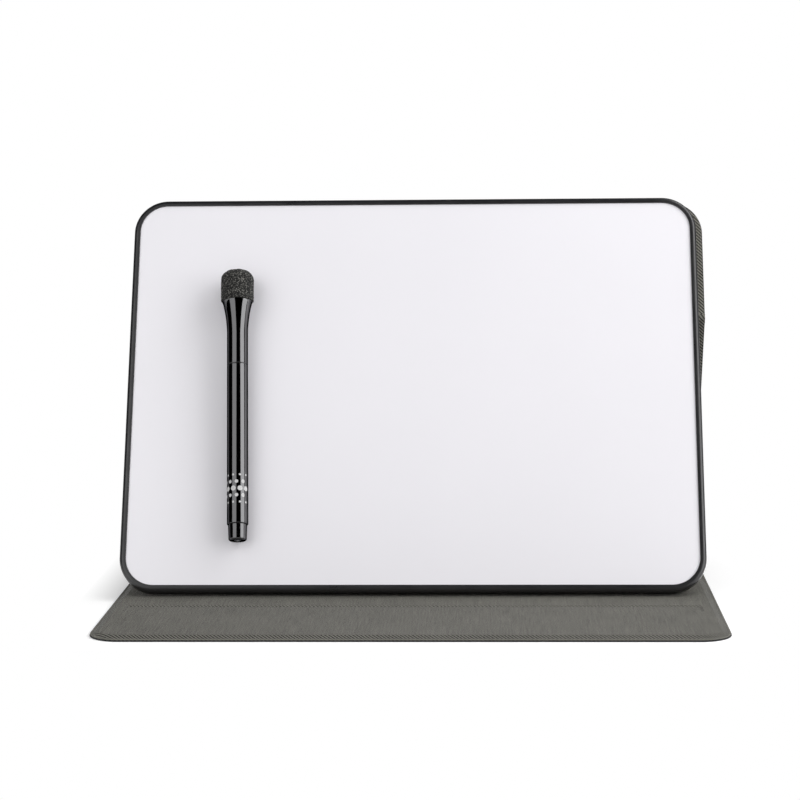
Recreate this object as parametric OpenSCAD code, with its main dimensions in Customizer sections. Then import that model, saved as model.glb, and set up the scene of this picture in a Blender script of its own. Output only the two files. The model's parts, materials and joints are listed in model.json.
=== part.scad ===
// Magnetic desk whiteboard on a folding folio cover
// The cover's front panel lies on the desk, its rear panel rises as a leg, and the
// back panel above the knee is taped to the board. X runs along the board, Y runs
// back from the front edge and Z is up. The origin is the middle of the footprint.

/* [Board] */
// Width of the board over its rim
board_w = 301; // [240:1:340]
// Height of the board over its rim
board_h = 216; // [200:1:250]
// Thickness of the board
board_t = 8; // [7:0.5:12]
// Outer radius of the board's corners
corner_r = 18; // [10:1:30]
// Width of the rim seen from the front
rim_w = 3.4; // [3:0.2:6]
// Wall of the rim's channel
rim_wall = 1.6; // [1.3:0.1:2]
// Thickness of the rim's front and back lips
lip_t = 0.7; // [0.5:0.1:1]
// Radius of the bead on the rim's front edge
bead_r = 2.2; // [1:0.2:2.6]
// Radius of the rim's back edge, on which the board stands
back_edge_r = 1.2; // [0.6:0.1:1.8]
// Thickness of the coated steel writing sheet
writing_sheet_t = 0.4; // [0.3:0.1:0.8]
// Thickness of the sheet on the board's back
rear_sheet_t = 0.4; // [0.3:0.1:0.8]

/* [Magnets in the board's foot] */
// Number of bar magnets along the board's lower edge
foot_magnets = 4; // [2:1:6]
// Length of each bar magnet
magnet_len = 40; // [20:1:44]
// Height of each bar magnet along the board
magnet_h = 8; // [4:1:14]
// Thickness of each bar magnet
magnet_t = 3; // [2:0.5:4]

/* [Cover] */
// Width of the folio cover
cover_w = 306; // [250:1:350]
// Thickness of the cover's outer skin
skin_t = 0.8; // [0.5:0.1:1.2]
// Thickness of the stiffeners inside the cover
stiffener_t = 1.2; // [0.8:0.1:2]
// Thickness of the cover's lining
lining_t = 0.5; // [0.3:0.1:0.8]
// Width of the welded margin round the stiffeners
margin_w = 5; // [3:0.5:9]
// Radius of the front panel's corners
front_corner_r = 16; // [10:1:26]
// Radius of the back panel's upper corners
top_corner_r = 18; // [10:1:26]
// Small corner radius of the stiffeners beside a crease
crease_corner_r = 1.5; // [1:0.5:3]
// How far the back panel reaches past the board's upper edge
overhang = 1; // [0:0.5:4]
// How far the board sits to the left of the cover's centre line
board_shift = 1.5; // [0:0.1:4]

/* [Creases] */
// Length of the front panel, from its free edge to the front crease
front_len = 218; // [200:1:240]
// Pitch of the spine strip between the front and rear creases
spine_pitch = 10.5; // [9:0.5:16]
// Half the width of each flexible crease
crease_half = 2.5; // [2:0.1:3.5]
// Inner radius of the roll over which a crease folds
crease_r = 0.3; // [0.2:0.05:0.5]
// Extra room that the leg's stiffener leaves at the rear crease
leg_relief = 1.5; // [1.2:0.1:3]
// Height of the knee crease above the board's lower edge
knee_h = 150; // [135:1:165]

/* [Standing place] */
// Distance from the cover's free edge to the line on which the board stands
stand_line = 98.7; // [90:0.1:120]
// Running gap between the board's foot and the cover below it
foot_gap = 0.3; // [0.2:0.05:0.6]
// Distance from the cover's free edge to the middle of the low-angle channel
channel_line = 65; // [50:0.5:70]
// Width of the two magnet strips in the front panel, and of the channel
strip_w = 14; // [8:0.5:18]
// Depth of the low-angle channel pressed into the lining
channel_depth = 0.25; // [0.1:0.05:0.28]
// Distance from each end of the channel to the side of the cover
channel_inset = 9; // [8:0.5:30]

/* [Tape between board and cover] */
// Gap between the back panel and the board's rim
panel_gap = 0.3; // [0.3:0.1:1]
// Number of tape strips
tape_strips = 3; // [2:1:3]
// Width of each tape strip
tape_w = 14; // [6:1:15]
// Distance from the ends of the tape to the sides of the back panel
tape_inset = 14; // [12:1:40]

/* [Marker body] */
// Outer diameter of the barrel
barrel_d = 11; // [10:0.5:15]
// Wall of the barrel
barrel_wall = 1.2; // [1:0.1:1.5]
// Length of the barrel
barrel_len = 85.6; // [70:0.2:110]
// Diameter of the end plug beside the barrel
plug_d = 9.8; // [8.5:0.1:9.9]
// Diameter of the end plug at its free end
plug_end_d = 9.4; // [7:0.1:9.5]
// Length of the end plug outside the barrel
plug_len = 8.4; // [5:0.2:14]
// Length of each spigot that is pressed into the barrel
spigot_len = 7; // [4:0.5:12]
// Diameter of the neck that the cap slides over
neck_d = 8.3; // [7.6:0.1:8.4]
// Length of the neck
neck_len = 11; // [8:0.5:13]
// Diameter of the nose that the cap's liner seals
nose_d = 6.2; // [5.6:0.1:6.4]
// Length of the nose up to its cone
nose_len = 4; // [3:0.5:5]
// Length of the cone in front of the nose
cone_len = 4; // [2:0.5:5]
// Diameter of the felt nib
nib_d = 3.5; // [2.5:0.1:4]
// Length of nib that stands out of the cone
nib_out = 4; // [2:0.5:5]
// Diameter of the ink reservoir
reservoir_d = 7.8; // [6:0.1:7.8]

/* [Marker cap] */
// Length of the cap's straight skirt
skirt_len = 16.7; // [14:0.1:22]
// Length of the cap's flare
flare_len = 18.3; // [14:0.1:26]
// Diameter of the cap at the top of its flare
cap_top_d = 15.9; // [13:0.1:18]
// Diameter of the cap's bore
cap_bore_d = 8.9; // [8.9:0.1:9.4]
// Depth of the cap's bore
cap_bore_len = 27; // [26:0.5:29]
// Length of the sealing liner in the cap
liner_len = 14; // [10:0.5:14]
// Wall of the sealing liner
liner_wall = 0.9; // [0.6:0.1:1]
// Diameter of the magnet in the cap
cap_magnet_d = 9.6; // [6:0.2:10]
// Thickness of the magnet in the cap
cap_magnet_t = 3; // [1.5:0.5:4]
// Diameter of the eraser
eraser_d = 17.4; // [15:0.1:20]
// Length of the eraser
eraser_len = 17; // [10:0.5:24]
// Rounding of the eraser's upper edge
eraser_r = 5; // [2:0.5:6]

/* [Marker place] */
// Distance from the board's centre line to the marker's lower end, to the left
marker_left = 89; // [40:1:110]
// Height of the marker's lower end up the board
marker_up = 25.3; // [10:0.5:45]
// Slant of the marker in the plane of the board
marker_slant = 1.6; // [-5:0.1:5]
// Gap between the marker and the writing sheet
rest_gap = 0.3; // [0.2:0.05:0.5]

/* [Fits] */
// Clearance round sheets, magnets and plates in their seats
seat_fit = 0.1; // [0.05:0.05:0.2]
// Clearance of a pressed spigot or nib in its bore
press_fit = 0.05; // [0.02:0.01:0.1]

/* [Hidden] */
$fn = 96;

// A hair of overlap that keeps a cut clean where it opens a face
cut = 0.01;

// Cover thicknesses, and the height of a crease's hinge line over the outer face
margin_t = skin_t + lining_t;
cover_t = skin_t + stiffener_t + lining_t;
axis_h = margin_t / 2;

// Places along the cover, from its free edge
front_crease = front_len;
rear_crease_at = front_len + spine_pitch;
leg_len = knee_h + cover_t - axis_h + foot_gap;

// Triangle of the leg, the board's lower part and the line between their feet
foot_z = cover_t + foot_gap + back_edge_r;
knee_back = panel_gap + cover_t - axis_h;
foot_reach = norm([knee_h - back_edge_r, knee_back + back_edge_r]);
foot_skew = atan2(knee_back + back_edge_r, knee_h - back_edge_r);
stand_run = rear_crease_at - stand_line;
stand_rise = foot_z - axis_h;
stand_gap = norm([stand_run, stand_rise]);
leg_cos = (pow(leg_len, 2) + pow(stand_gap, 2) - pow(foot_reach, 2)) / (2 * leg_len * stand_gap);
leg_angle = acos(leg_cos) + atan2(stand_rise, stand_run);
knee_run = stand_run - leg_len * cos(leg_angle);
knee_z = axis_h + leg_len * sin(leg_angle);
board_angle = atan2(knee_z - foot_z, knee_run) + foot_skew;

// Each crease rolls over a small radius between the flat flaps beside it
roll_r = crease_r + axis_h;
crease_steps = 16;
rear_bend = 180 - leg_angle;
knee_bend = 180 - leg_angle - board_angle;
rear_flap = roll_r * tan(rear_bend / 2);

// The footprint runs from the free edge to the back of the rear crease's roll and is
// centred on the origin
footprint = rear_crease_at - rear_flap + roll_r + axis_h;
front_y = -footprint / 2;
rear_y = front_y + rear_crease_at;
foot_y = front_y + stand_line;

// Layers of the board, measured from its back
rear_sheet_z = lip_t;
core_z = lip_t + rear_sheet_t;
face_z = board_t - lip_t;
core_t = face_z - writing_sheet_t - core_z;
sheet_inset = rim_wall + seat_fit;

// Lengths and bores inside the marker
bore_d = barrel_d - 2 * barrel_wall;
cap_len = skirt_len + flare_len;
nib_tip = neck_len + nose_len + cone_len + nib_out;
nib_bore_d = nib_d + 2 * press_fit;
nib_tail = spigot_len + 4;
flare_r = (pow(flare_len, 2) + pow((cap_top_d - barrel_d) / 2, 2)) / (cap_top_d - barrel_d);
rest_tilt = asin((eraser_d - barrel_d) / 2 / (barrel_len + cap_len));
marker_h = face_z + rest_gap + barrel_d / 2 * cos(rest_tilt) - plug_len * sin(rest_tilt);

// Colours
black_rim = [0.07, 0.07, 0.08];
white_face = [0.95, 0.94, 0.97];
twill_dark = [0.22, 0.22, 0.23];
twill_grey = [0.43, 0.42, 0.4];
board_grey = [0.62, 0.6, 0.56];
magnet_black = [0.2, 0.19, 0.19];
steel_grey = [0.66, 0.67, 0.69];
marker_black = [0.05, 0.05, 0.06];
felt_grey = [0.2, 0.2, 0.19];

// Frames in which the pieces are drawn

module on_base() {
    translate([0, front_y, 0]) children();
}

// Y runs up the leg from the rear crease, Z from its outer to its inner face
module on_leg() {
    translate([0, rear_y, axis_h]) rotate([180 - leg_angle, 0, 0])
        translate([0, 0, -axis_h]) children();
}

// Y runs up the board from its lower edge, Z from its back to its face
module on_board() {
    translate([-board_shift, foot_y, foot_z]) rotate([board_angle, 0, 0])
        translate([0, -back_edge_r, -back_edge_r]) children();
}

// The back panel lies behind the board, with its outer face at Z zero
module on_back_panel() {
    on_board() translate([board_shift, 0, -panel_gap - cover_t]) children();
}

// Z runs along the marker from its lower end
module on_marker(up = 0) {
    on_board() translate([-marker_left, marker_up, marker_h])
        rotate([0, 0, marker_slant]) rotate([rest_tilt - 90, 0, 0])
            translate([0, 0, up]) children();
}

// Flat outlines

module rounded_end(w, y, r) {
    translate([-w / 2 + r, y - r]) square([w - 2 * r, 2 * r]);
    for (side = [-1, 1]) translate([side * (w / 2 - r), y]) circle(r);
}

// Outline centred on X from y0 to y1, with its own corner radius at each end
module plate(w, y0, y1, r0 = 0, r1 = 0) {
    translate([-w / 2, y0 + r0]) square([w, y1 - y0 - r0 - r1]);
    if (r0 > 0) rounded_end(w, y0 + r0, r0);
    if (r1 > 0) rounded_end(w, y1 - r1, r1);
}

// Outline of the board drawn in by a distance from its outer edge
module board_outline(inset) {
    r = corner_r - inset;
    plate(board_w - 2 * inset, inset, board_h - inset, r, r);
}

// Cover layers

module sheet(z, t) {
    translate([0, 0, z]) linear_extrude(t) children();
}

// Raised field of the lining over a stiffener between y0 and y1
module field(y0, y1, r0, r1, inset = 0) {
    plate(cover_w - 2 * (margin_w + inset), y0 + inset, y1 - inset, r0 - inset, r1 - inset);
}

// Lining that climbs over the stiffeners: the first child is its outline, the second
// its raised fields and the third the stiffeners below them
module formed_lining() {
    difference() {
        union() {
            sheet(skin_t, lining_t) children(0);
            sheet(skin_t, stiffener_t + lining_t) children(1);
        }
        sheet(skin_t - cut, stiffener_t + cut) children(2);
    }
}

// Fields of the four stiffened panels
module front_field(inset = 0) {
    field(margin_w, front_crease - crease_half, front_corner_r - margin_w,
        crease_corner_r, inset);
}

module spine_field(inset = 0) {
    field(front_crease + crease_half, rear_crease_at - crease_half, crease_corner_r,
        crease_corner_r, inset);
}

module leg_field(inset = 0) {
    field(crease_half + leg_relief, leg_len - crease_half, crease_corner_r,
        crease_corner_r, inset);
}

module upper_field(inset = 0) {
    field(knee_h + crease_half, board_h + overhang - margin_w, crease_corner_r,
        top_corner_r - margin_w, inset);
}

// Part of the front panel's core between two distances from the free edge
module front_core(y0, y1) {
    sheet(skin_t, stiffener_t) intersection() {
        front_field(lining_t);
        plate(cover_w, y0, y1);
    }
}

// Front panel and spine, lying on the desk

strip_low_y = channel_line - strip_w / 2;
strip_stop_y = stand_line - strip_w / 2;

module base_outline() {
    plate(cover_w, 0, rear_crease_at - crease_half, front_corner_r, 0);
}

module base_fields(inset = 0) {
    front_field(inset);
    spine_field(inset);
}

module base_outer_skin() {
    color(twill_dark) on_base() sheet(0, skin_t) base_outline();
}

module base_lining() {
    color(twill_grey) on_base() difference() {
        formed_lining() {
            base_outline();
            base_fields();
            base_fields(lining_t);
        }
        sheet(cover_t - channel_depth, channel_depth + cut)
            plate(cover_w - 2 * channel_inset, strip_low_y, strip_low_y + strip_w,
                crease_corner_r, crease_corner_r);
    }
}

module front_stiffener() {
    color(board_grey) on_base() front_core(0, strip_low_y - seat_fit);
}

module low_angle_magnet_strip() {
    color(magnet_black) on_base() front_core(strip_low_y, strip_low_y + strip_w);
}

module middle_stiffener() {
    color(board_grey) on_base()
        front_core(strip_low_y + strip_w + seat_fit, strip_stop_y - seat_fit);
}

module stop_magnet_strip() {
    color(magnet_black) on_base() front_core(strip_stop_y, strip_stop_y + strip_w);
}

module rear_stiffener() {
    color(board_grey) on_base() front_core(strip_stop_y + strip_w + seat_fit, front_crease);
}

module spine_stiffener() {
    color(board_grey) on_base() sheet(skin_t, stiffener_t) spine_field(lining_t);
}

// Creases, where skin and lining are welded without a stiffener

// A hair of room between a crease's flaps and the panels that they join
seam_gap = 0.01;

// Section along the cover: a flat flap, a roll that turns left and a second flat flap.
// The mid lines of the two flaps meet on the hinge line, at the origin
module crease_section(bend) {
    reach = crease_half - seam_gap;
    lead = roll_r * tan(bend / 2);
    along = reach * [cos(bend), sin(bend)];
    across = axis_h * [-sin(bend), cos(bend)];
    turn = [for (i = [0 : crease_steps]) let (a = bend * i / crease_steps) [sin(a), -cos(a)]];
    inside = [for (i = [crease_steps : -1 : 0]) [-lead, roll_r] + crease_r * turn[i]];
    outside = [for (t = turn) [-lead, roll_r] + (crease_r + margin_t) * t];
    polygon(concat([[-reach, -axis_h]], outside, [along - across, along + across],
        inside, [[-reach, axis_h]]));
}

module crease_strip() {
    rotate([90, 0, 90]) linear_extrude(cover_w, center = true) children();
}

module rear_crease() {
    color(twill_dark) translate([0, rear_y, axis_h]) crease_strip() crease_section(rear_bend);
}

// The knee folds the other way, towards the outer face
module knee_crease() {
    color(twill_dark) translate([0, rear_y - leg_len * cos(leg_angle), knee_z])
        rotate([180 - leg_angle, 0, 0]) crease_strip() mirror([0, 1]) crease_section(knee_bend);
}

// Leg, from the rear crease up to the knee

module leg_outline() {
    plate(cover_w, crease_half, leg_len - crease_half);
}

module leg_outer_skin() {
    color(twill_dark) on_leg() sheet(0, skin_t) leg_outline();
}

module leg_stiffener() {
    color(board_grey) on_leg() sheet(skin_t, stiffener_t) leg_field(lining_t);
}

module leg_lining() {
    color(twill_grey) on_leg() formed_lining() {
        leg_outline();
        leg_field();
        leg_field(lining_t);
    }
}

// Back panel above the knee, taped to the board

module upper_outline() {
    plate(cover_w, knee_h + crease_half, board_h + overhang, 0, top_corner_r);
}

module upper_outer_skin() {
    color(twill_dark) on_back_panel() sheet(0, skin_t) upper_outline();
}

module upper_stiffener() {
    color(board_grey) on_back_panel() sheet(skin_t, stiffener_t) upper_field(lining_t);
}

module upper_lining() {
    color(twill_grey) on_back_panel() formed_lining() {
        upper_outline();
        upper_field();
        upper_field(lining_t);
    }
}

// The strips are spread evenly from above the knee to below the upper rim
module mounting_tape() {
    first = knee_h + crease_half + lining_t;
    last = board_h - corner_r - tape_w / 2;
    pitch = (last - first) / (tape_strips - 1);
    color(magnet_black) on_back_panel() sheet(cover_t, panel_gap + lip_t)
        for (i = [0 : tape_strips - 1])
            plate(cover_w - 2 * (margin_w + tape_inset), first + i * pitch,
                first + i * pitch + tape_w);
}

// Board

// Cross-section of the rim, X outwards from its inner edge and Y from back to face
module rim_profile() {
    difference() {
        union() {
            translate([0, back_edge_r])
                square([rim_w, board_t - back_edge_r - bead_r]);
            square([rim_w - back_edge_r, back_edge_r + cut]);
            translate([0, board_t - bead_r - cut])
                square([rim_w - bead_r, bead_r + cut]);
            translate([rim_w - back_edge_r, back_edge_r]) circle(back_edge_r);
            translate([rim_w - bead_r, board_t - bead_r]) circle(bead_r);
        }
        translate([-rim_w, lip_t]) square([2 * rim_w - rim_wall, face_z - lip_t]);
        translate([-rim_w, 0]) square([rim_w, board_t]);
    }
}

module rim_run(length) {
    rotate([90, 0, 90]) linear_extrude(length, center = true) rim_profile();
}

module rim_corner() {
    rotate_extrude(angle = 90) translate([corner_r - rim_w, 0]) rim_profile();
}

module board_frame() {
    half = [board_w / 2, board_h / 2];
    color(black_rim) on_board() translate([0, half[1], 0]) union() {
        for (side = [0, 1]) rotate([0, 0, 180 * side]) {
            translate([0, half[1] - rim_w, 0]) rim_run(board_w - 2 * corner_r);
            rotate([0, 0, 90]) translate([0, half[0] - rim_w, 0])
                rim_run(board_h - 2 * corner_r);
            translate([half[0] - corner_r, half[1] - corner_r, 0]) rim_corner();
            translate([corner_r - half[0], half[1] - corner_r, 0])
                rotate([0, 0, 90]) rim_corner();
        }
    }
}

module rear_sheet() {
    color(steel_grey) on_board() sheet(rear_sheet_z, rear_sheet_t)
        board_outline(sheet_inset);
}

module writing_sheet() {
    color(white_face) on_board() sheet(face_z - writing_sheet_t, writing_sheet_t)
        board_outline(sheet_inset);
}

// Bar magnets in a row along the lower edge, each grown by a clearance
module magnet_row(grow) {
    pitch = (board_w - 2 * corner_r) / foot_magnets;
    for (i = [0 : foot_magnets - 1])
        translate([(i - (foot_magnets - 1) / 2) * pitch, sheet_inset + magnet_h / 2,
            core_z + core_t / 2])
            cube([magnet_len, magnet_h, magnet_t] + 2 * grow * [1, 1, 1], center = true);
}

module core_panel() {
    color(board_grey) on_board() difference() {
        sheet(core_z, core_t) board_outline(sheet_inset);
        magnet_row(seat_fit);
    }
}

module foot_magnet_bars() {
    color(magnet_black) on_board() magnet_row(0);
}

// Marker

module turned() {
    rotate_extrude() children();
}

// Half section of a turned piece between two radii, with its outer edges rounded
module ring_section(inner, outer, length, edge) {
    translate([inner, 0]) square([outer - edge - inner, length]);
    translate([inner, edge]) square([outer - inner, length - 2 * edge]);
    for (y = [edge, length - edge]) translate([outer - edge, y]) circle(edge);
}

barrel_edge = 0.3;
plug_edge = 1;
plug_dimple_d = 3;
plug_dimple_depth = 0.6;

module marker_barrel() {
    color(marker_black) on_marker(plug_len)
        turned() ring_section(bore_d / 2, barrel_d / 2, barrel_len, barrel_edge);
}

module end_plug() {
    color(marker_black) on_marker() difference() {
        turned() {
            square([plug_end_d / 2 - plug_edge, plug_edge + cut]);
            translate([plug_end_d / 2 - plug_edge, plug_edge]) intersection() {
                circle(plug_edge);
                translate([0, -plug_edge]) square([plug_edge, plug_edge]);
            }
            polygon([[0, plug_edge], [plug_end_d / 2, plug_edge],
                [plug_d / 2, plug_len], [0, plug_len]]);
            translate([0, plug_len - cut]) square([bore_d / 2 - press_fit, spigot_len + cut]);
        }
        translate([0, 0, -cut]) cylinder(h = plug_dimple_depth + cut, d = plug_dimple_d);
    }
}

// The reservoir fills the barrel between the plug's spigot and the nib's tail
module ink_reservoir() {
    color(white_face) on_marker(plug_len + spigot_len)
        cylinder(h = barrel_len - spigot_len - nib_tail, d = reservoir_d);
}

module nib_holder() {
    cone_d = nib_bore_d + 1;
    color(marker_black) on_marker(plug_len + barrel_len) difference() {
        turned() {
            translate([0, -spigot_len]) square([bore_d / 2 - press_fit, spigot_len + cut]);
            square([neck_d / 2, neck_len]);
            translate([0, neck_len - cut]) square([nose_d / 2, nose_len + cut]);
            polygon([[0, neck_len + nose_len], [nose_d / 2, neck_len + nose_len],
                [cone_d / 2, neck_len + nose_len + cone_len],
                [0, neck_len + nose_len + cone_len]]);
        }
        translate([0, 0, -nib_tail]) cylinder(h = nib_tip + nib_tail, d = nib_bore_d);
    }
}

// The nib has a bullet tip
module marker_nib() {
    tip_r = nib_d / 2;
    color(felt_grey) on_marker(plug_len + barrel_len) turned() {
        translate([0, -nib_tail]) square([tip_r, nib_tail + nib_tip - tip_r]);
        translate([0, nib_tip - tip_r]) intersection() {
            circle(tip_r);
            square(tip_r);
        }
    }
}

module cap_section() {
    edge = 0.3;
    difference() {
        union() {
            square([barrel_d / 2 - edge, edge + cut]);
            translate([0, edge]) square([barrel_d / 2, skirt_len - edge]);
            translate([barrel_d / 2 - edge, edge]) circle(edge);
            difference() {
                translate([0, skirt_len]) square([cap_top_d / 2, flare_len]);
                translate([barrel_d / 2 + flare_r, skirt_len]) circle(flare_r, $fn = 720);
            }
        }
        translate([-cap_top_d, 0]) square([cap_top_d, cap_len]);
    }
}

module marker_cap() {
    color(marker_black) on_marker(plug_len + barrel_len) difference() {
        turned() cap_section();
        translate([0, 0, -cut]) cylinder(h = cap_bore_len + cut, d = cap_bore_d);
        translate([0, 0, cap_len - cap_magnet_t - seat_fit])
            cylinder(h = cap_magnet_t + seat_fit + cut, d = cap_magnet_d + 2 * seat_fit);
    }
}

module cap_liner() {
    outer = cap_bore_d - 2 * press_fit;
    color(white_face) on_marker(plug_len + barrel_len + cap_bore_len - liner_len)
        difference() {
            cylinder(h = liner_len, d = outer);
            translate([0, 0, -cut])
                cylinder(h = liner_len - liner_wall + cut, d = outer - 2 * liner_wall);
        }
}

module cap_magnet() {
    color(steel_grey) on_marker(plug_len + barrel_len + cap_len - cap_magnet_t)
        cylinder(h = cap_magnet_t, d = cap_magnet_d);
}

module eraser() {
    color(felt_grey) on_marker(plug_len + barrel_len + cap_len) turned() {
        square([eraser_d / 2, eraser_len - eraser_r]);
        square([eraser_d / 2 - eraser_r, eraser_len]);
        translate([eraser_d / 2 - eraser_r, eraser_len - eraser_r]) intersection() {
            circle(eraser_r);
            square(eraser_r);
        }
    }
}

base_outer_skin();
base_lining();
front_stiffener();
low_angle_magnet_strip();
middle_stiffener();
stop_magnet_strip();
rear_stiffener();
spine_stiffener();
rear_crease();
leg_outer_skin();
leg_stiffener();
leg_lining();
knee_crease();
upper_outer_skin();
upper_stiffener();
upper_lining();
mounting_tape();
board_frame();
rear_sheet();
core_panel();
foot_magnet_bars();
writing_sheet();
marker_barrel();
end_plug();
ink_reservoir();
nib_holder();
marker_nib();
marker_cap();
cap_liner();
cap_magnet();
eraser();
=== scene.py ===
"""Looks of a magnetic desk whiteboard on a folding folio cover.

The cover lies on the desk and rises behind the board as a leg, the board stands on the
cover, and a marker with an eraser cap is held on its face.
"""

import json
from math import asin, atan2, cos, pi, radians, sin, sqrt, tan

import bmesh
import bpy
from bpy.props import FloatProperty, FloatVectorProperty, PointerProperty
from bpy.types import Operator, Panel, PropertyGroup
from mathutils import Matrix, Vector


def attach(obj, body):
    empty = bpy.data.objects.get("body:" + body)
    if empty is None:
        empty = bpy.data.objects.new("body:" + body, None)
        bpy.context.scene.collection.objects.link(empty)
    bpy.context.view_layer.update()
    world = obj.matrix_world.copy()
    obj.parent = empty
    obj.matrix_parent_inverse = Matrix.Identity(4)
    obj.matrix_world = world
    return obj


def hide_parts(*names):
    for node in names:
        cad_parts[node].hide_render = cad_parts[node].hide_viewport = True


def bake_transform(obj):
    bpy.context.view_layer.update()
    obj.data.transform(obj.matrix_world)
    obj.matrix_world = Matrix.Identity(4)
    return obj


bl_info = {
    "name": "Desk whiteboard easel",
    "version": (1, 0, 0),
    "blender": (4, 5, 0),
    "location": "3D View > Sidebar > Easel",
    "description": "Builds the folio cover, board and marker of a desk whiteboard",
    "category": "Object",
}

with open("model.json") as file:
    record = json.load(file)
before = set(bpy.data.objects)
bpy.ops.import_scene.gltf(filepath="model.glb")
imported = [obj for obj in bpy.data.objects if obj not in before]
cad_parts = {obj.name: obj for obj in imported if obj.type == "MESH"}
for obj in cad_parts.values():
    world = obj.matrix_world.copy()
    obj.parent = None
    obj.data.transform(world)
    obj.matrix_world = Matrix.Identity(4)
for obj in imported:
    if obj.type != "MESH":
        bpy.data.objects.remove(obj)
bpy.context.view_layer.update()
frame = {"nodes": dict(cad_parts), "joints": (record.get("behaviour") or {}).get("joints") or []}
JOINTS = {joint["name"]: joint for joint in frame["joints"]}


# Sizes and colours


def length(name, value, about):
    return FloatProperty(name=name, description=about, default=value, min=0.0, unit="LENGTH",
                         precision=5)


def colour(name, value, about):
    return FloatVectorProperty(
        name=name, description=about, default=value, size=3, min=0.0, max=1.0, subtype="COLOR")


class CoverSizes(PropertyGroup):
    width: length("Width", 0.306, "Width of the folio cover")
    skin: length("Skin", 0.0008, "Thickness of the outer skin")
    core: length("Stiffener", 0.0012, "Thickness of the stiffeners")
    lining: length("Lining", 0.0005, "Thickness of the lining")
    margin: length("Margin", 0.005, "Width of the welded margin")
    front_corner: length("Front corner", 0.016, "Corner radius of the front panel")
    top_corner: length("Top corner", 0.018, "Corner radius of the back panel")
    field_corner: length("Field corner", 0.0015, "Corner radius of a field beside a crease")
    front: length("Front panel", 0.218, "Length from the free edge to the front crease")
    spine: length("Spine", 0.0105, "Pitch of the spine strip")
    crease: length("Crease", 0.0025, "Half the width of a crease")
    roll: length("Roll", 0.0003, "Inner radius of a folded crease")
    relief: length("Relief", 0.0015, "Room between the rear crease and the leg's stiffener")
    knee: length("Knee", 0.15, "Height of the knee above the board's lower edge")
    overhang: length("Overhang", 0.001, "Reach of the back panel past the board")
    channel: length("Channel", 0.065, "Place of the low-angle channel")
    channel_width: length("Channel width", 0.014, "Width of the channel")
    channel_depth: length("Channel depth", 0.00025, "Depth of the channel")
    channel_inset: length("Channel inset", 0.009, "Distance from the channel to the sides")
    panel_gap: length("Tape gap", 0.0003, "Gap between back panel and rim")


class BoardSizes(PropertyGroup):
    width: length("Width", 0.301, "Width over the rim")
    height: length("Height", 0.216, "Height over the rim")
    thickness: length("Thickness", 0.008, "Thickness over the rim")
    corner: length("Corner", 0.018, "Outer corner radius")
    rim: length("Rim", 0.0034, "Width of the rim from the front")
    wall: length("Rim wall", 0.0016, "Wall of the rim's channel")
    lip: length("Lip", 0.0007, "Thickness of the rim's lips")
    bead: length("Bead", 0.0022, "Radius of the front bead")
    back_edge: length("Back edge", 0.0012, "Radius of the back edge")
    shift: length("Shift", 0.0015, "Offset of the board to the left")


class MarkerSizes(PropertyGroup):
    barrel: length("Barrel", 0.0055, "Radius of the barrel")
    wall: length("Wall", 0.0012, "Wall of the barrel")
    barrel_length: length("Barrel length", 0.0856, "Length of the barrel")
    plug: length("Plug", 0.0049, "Radius of the end plug beside the barrel")
    plug_end: length("Plug end", 0.0047, "Radius of the end plug at its free end")
    plug_length: length("Plug length", 0.0084, "Length of the end plug")
    skirt: length("Skirt", 0.0167, "Length of the cap's straight skirt")
    flare: length("Flare", 0.0183, "Length of the cap's flare")
    top: length("Cap top", 0.00795, "Radius of the cap at its top")
    bore: length("Cap bore", 0.00445, "Radius of the cap's bore")
    bore_length: length("Bore depth", 0.027, "Depth of the cap's bore")
    magnet: length("Magnet", 0.0049, "Radius of the magnet's pocket")
    magnet_depth: length("Pocket depth", 0.0031, "Depth of the magnet's pocket")
    eraser: length("Eraser", 0.0087, "Radius of the eraser")
    eraser_length: length("Eraser length", 0.017, "Length of the eraser")
    eraser_round: length("Eraser rounding", 0.005, "Rounding of the eraser's top")
    left: length("Left", 0.089, "Distance to the left of the board's middle")
    up: length("Up", 0.0253, "Height of the marker's lower end")
    rest_gap: length("Rest gap", 0.0003, "Gap between marker and writing sheet")
    slant: FloatProperty(name="Slant", description="Slant on the board", default=radians(1.6),
                         subtype="ANGLE")


class Colours(PropertyGroup):
    face: colour("Writing face", (0.88, 0.866, 0.906), "Coating of the writing sheet")
    lining: colour("Lining", (0.125, 0.1215, 0.106), "Twill lining")
    skin: colour("Outer skin", (0.02, 0.02, 0.021), "Twill skin")
    rim: colour("Rim", (0.011, 0.011, 0.0125), "Moulded rim")
    holder: colour("Nib holder", (0.0025, 0.0025, 0.003), "Plastic of the nib holder")
    lacquer: colour("Lacquer", (0.122, 0.122, 0.125), "Share of the light that the lacquer mirrors")
    print_white: colour("Print", (0.62, 0.62, 0.62), "Dots on the barrel")
    felt: colour("Felt", (0.006, 0.006, 0.006), "Felt of the eraser")
    felt_fleck: colour("Fleck", (0.5, 0.49, 0.45), "Light fibres of the eraser")


def sizes():
    scene = bpy.context.scene
    return scene.easel_cover, scene.easel_board, scene.easel_marker


# Places of the panels, board and marker


def laid(origin, along, out):
    """Matrix of a frame whose Y and Z are given"""
    across = along.cross(out)
    turn = Matrix((across, along, out)).transposed().to_4x4()
    return Matrix.Translation(origin) @ turn


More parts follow.
